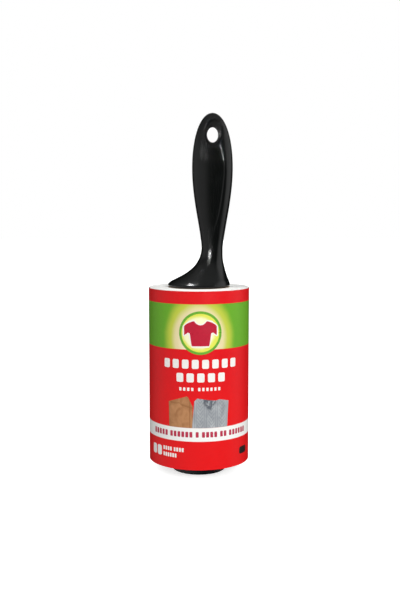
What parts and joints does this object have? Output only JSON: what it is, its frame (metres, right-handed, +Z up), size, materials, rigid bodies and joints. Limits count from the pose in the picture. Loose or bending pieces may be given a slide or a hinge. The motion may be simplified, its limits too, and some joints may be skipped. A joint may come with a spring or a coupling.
{
  "type": "lint roller",
  "caption": "Hand lint roller: a roll of tear-off adhesive sheets on a spinning barrel, with an offset tapered grip that has a hang hole.",
  "frame": {"origin": "centre of the end cap's flat bottom, on the roller axis", "axes": "+Z up the roller axis from the free end to the grip, +X towards the side the grip is offset to, -Y the front"},
  "size_m": [0.0588, 0.0588, 0.2086],
  "materials": {
    "handle_plastic": "glossy",
    "barrel_plastic": "semi-gloss",
    "cap_plastic": "semi-gloss",
    "core_board": "matte",
    "sheet_paper": "satin, adhesive outside",
    "wrap_print": "gloss printed paper"
  },
  "bodies": {
    "handle": {"handle_front_shell": "handle_plastic", "handle_rear_shell": "handle_plastic", "spindle": "barrel_plastic"},
    "roller": {"barrel": "barrel_plastic", "inner_hub": "barrel_plastic", "outer_hub": "barrel_plastic", "end_cap": "cap_plastic"},
    "refill": {"core_tube": "core_board", "sheet_stack": "sheet_paper", "sheet_1": "sheet_paper", "sheet_2": "sheet_paper", "sheet_3": "sheet_paper", "sheet_4": "sheet_paper", "sheet_5": "sheet_paper", "sheet_6": "sheet_paper", "printed_wrap": "wrap_print"}
  },
  "joints": [
    {"name": "roller_spin", "type": "hinge", "parent": "handle", "child": "roller", "pos_m": [0, 0, 0.06], "axis": [0, 0, 1], "continuous": true},
    {"name": "refill_slide", "type": "slide", "parent": "roller", "child": "refill", "axis": [0, 0, -1], "range_m": [0, 0.11]}
  ]
}
